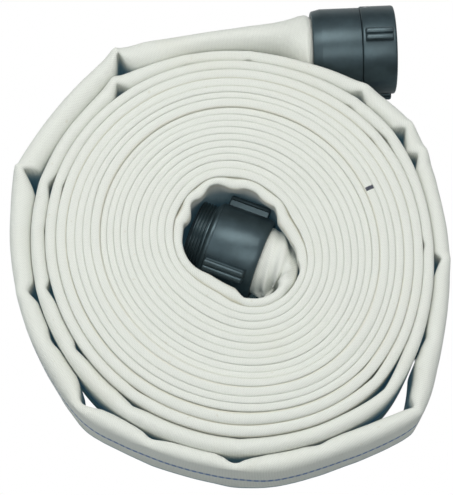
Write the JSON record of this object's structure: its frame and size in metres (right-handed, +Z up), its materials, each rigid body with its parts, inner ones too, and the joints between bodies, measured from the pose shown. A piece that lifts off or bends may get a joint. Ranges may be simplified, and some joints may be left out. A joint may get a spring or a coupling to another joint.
{
  "type": "rolled fire hose",
  "caption": "Flat-rolled double-jacket fire hose on edge, with a threaded male coupling in the centre of the roll and a swivelling female coupling on the free outer end.",
  "frame": {"origin": "centre of the bounding box in plan, on the floor plane under the roll", "axes": "+Z up along the roll's axis, +Y from the roll towards the free end's side, +X along the free end towards the female coupling"},
  "size_m": [0.4586, 0.5282, 0.1106],
  "materials": {
    "jacket_weave": "off-white polyester twill jacket",
    "inner_weave": "inner jacket with its bonded rubber lining",
    "coupling_alloy": "dark hard-anodised, satin",
    "brass_ring": "expanded in place",
    "gasket_rubber": "matte",
    "bright_steel": "ground"
  },
  "bodies": {
    "roll": {"outer_jacket": "jacket_weave", "lined_inner_jacket": "inner_weave", "male_shank": "coupling_alloy", "male_expansion_ring": "brass_ring", "male_tail_gasket": "gasket_rubber"},
    "free_end": {"free_end_outer_jacket": "jacket_weave", "free_end_lined_inner_jacket": "inner_weave", "female_shank": "coupling_alloy", "female_expansion_ring": "brass_ring", "female_tail_gasket": "gasket_rubber"},
    "swivel": {"swivel_ring": "coupling_alloy", "ball_plug_screw": "bright_steel", "swivel_gasket": "gasket_rubber"},
    "ball_set": {"swivel_ball_01": "bright_steel", "swivel_ball_02": "bright_steel", "swivel_ball_03": "bright_steel", "swivel_ball_04": "bright_steel", "swivel_ball_05": "bright_steel", "swivel_ball_06": "bright_steel", "swivel_ball_07": "bright_steel", "swivel_ball_08": "bright_steel", "swivel_ball_09": "bright_steel", "swivel_ball_10": "bright_steel", "swivel_ball_11": "bright_steel", "swivel_ball_12": "bright_steel", "swivel_ball_13": "bright_steel", "swivel_ball_14": "bright_steel", "swivel_ball_15": "bright_steel", "swivel_ball_16": "bright_steel", "swivel_ball_17": "bright_steel", "swivel_ball_18": "bright_steel", "swivel_ball_19": "bright_steel", "swivel_ball_20": "bright_steel", "swivel_ball_21": "bright_steel", "swivel_ball_22": "bright_steel", "swivel_ball_23": "bright_steel", "swivel_ball_24": "bright_steel", "swivel_ball_25": "bright_steel", "swivel_ball_26": "bright_steel", "swivel_ball_27": "bright_steel", "swivel_ball_28": "bright_steel", "swivel_ball_29": "bright_steel", "swivel_ball_30": "bright_steel", "swivel_ball_31": "bright_steel", "swivel_ball_32": "bright_steel", "swivel_ball_33": "bright_steel", "swivel_ball_34": "bright_steel", "swivel_ball_35": "bright_steel", "swivel_ball_36": "bright_steel"}
  },
  "joints": [
    {"name": "free_end_swing", "type": "hinge", "parent": "roll", "child": "free_end", "pos_m": [-0.11812, 0.19384, 0.055], "axis": [0, 0, 1], "range_deg": [0, 60]},
    {"name": "swivel_spin", "type": "hinge", "parent": "free_end", "child": "swivel", "pos_m": [0.15209, 0.2118, 0.0554], "axis": [0.9991, 0.0419, 0], "continuous": true},
    {"name": "ball_orbit", "type": "hinge", "parent": "free_end", "child": "ball_set", "pos_m": [0.15209, 0.2118, 0.0554], "axis": [0.9991, 0.0419, 0], "continuous": true}
  ],
  "couplings": [
    {"joint": "ball_orbit", "follows": "swivel_spin", "ratio": 0.539}
  ]
}
